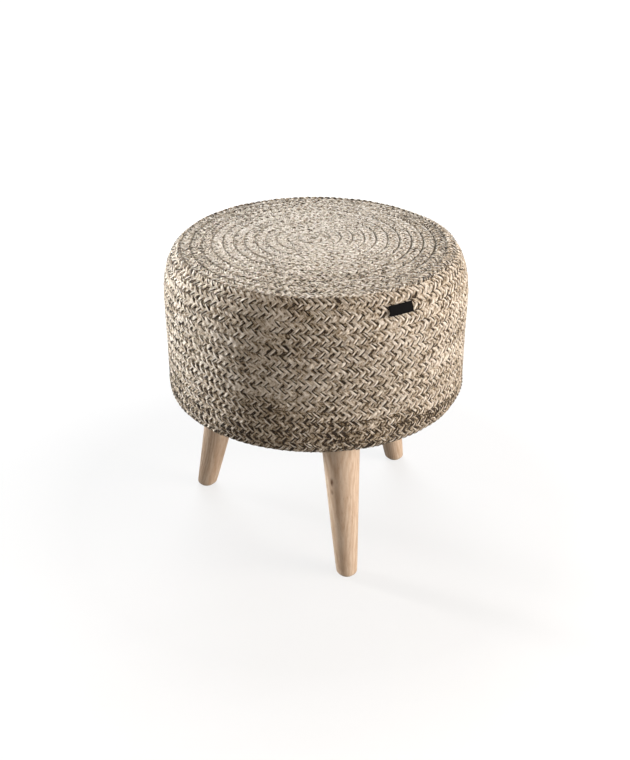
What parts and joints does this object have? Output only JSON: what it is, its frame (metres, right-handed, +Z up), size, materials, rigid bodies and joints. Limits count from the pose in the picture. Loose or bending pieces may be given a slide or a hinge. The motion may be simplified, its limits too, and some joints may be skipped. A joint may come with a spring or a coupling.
{
  "type": "pouf stool",
  "caption": "Round braided pouf stool: a soft drum in a spiral-sewn cover over a wooden core, on splayed, turned wooden legs.",
  "frame": {"origin": "on the floor, under the middle of the drum", "axes": "+Z up through the middle of the seat; the front leg stands towards -Y and the label is on the front to its right, towards +X"},
  "size_m": [0.4, 0.4, 0.41],
  "materials": {
    "braid": "three-strand flat braid of marled cotton-blend yarn, matt",
    "liner": "plain woven calico",
    "foam": "cut polyurethane foam",
    "hardboard": "bent hardboard",
    "plywood": "sawn birch plywood",
    "post_wood": "planed pine",
    "leg_wood": "turned rubberwood, clear matt lacquer",
    "dust_cloth": "black spun-bonded cloth",
    "label": "black woven satin tape, blank",
    "steel": "zinc-plated steel",
    "glide_plastic": "moulded polyethylene"
  },
  "bodies": {
    "root": {"base_board": "plywood", "braided_cover": "braid", "drum_skin": "hardboard", "dust_cover": "dust_cloth", "foot_glide_front": "glide_plastic", "foot_glide_left": "glide_plastic", "foot_glide_right": "glide_plastic", "hanger_bolt_front": "steel", "hanger_bolt_left": "steel", "hanger_bolt_right": "steel", "inner_liner": "liner", "leg_front": "leg_wood", "leg_left": "leg_wood", "leg_plate_front": "steel", "leg_plate_left": "steel", "leg_plate_right": "steel", "leg_right": "leg_wood", "plate_screw_front_1": "steel", "plate_screw_front_2": "steel", "plate_screw_front_3": "steel", "plate_screw_front_4": "steel", "plate_screw_left_1": "steel", "plate_screw_left_2": "steel", "plate_screw_left_3": "steel", "plate_screw_left_4": "steel", "plate_screw_right_1": "steel", "plate_screw_right_2": "steel", "plate_screw_right_3": "steel", "plate_screw_right_4": "steel", "post_1": "post_wood", "post_2": "post_wood", "post_3": "post_wood", "post_4": "post_wood", "post_5": "post_wood", "post_6": "post_wood", "post_screw_base_1": "steel", "post_screw_base_2": "steel", "post_screw_base_3": "steel", "post_screw_base_4": "steel", "post_screw_base_5": "steel", "post_screw_base_6": "steel", "post_screw_top_1": "steel", "post_screw_top_2": "steel", "post_screw_top_3": "steel", "post_screw_top_4": "steel", "post_screw_top_5": "steel", "post_screw_top_6": "steel", "side_foam_wrap": "foam", "side_label": "label", "top_board": "plywood", "top_foam_pad": "foam"}
  },
  "joints": []
}
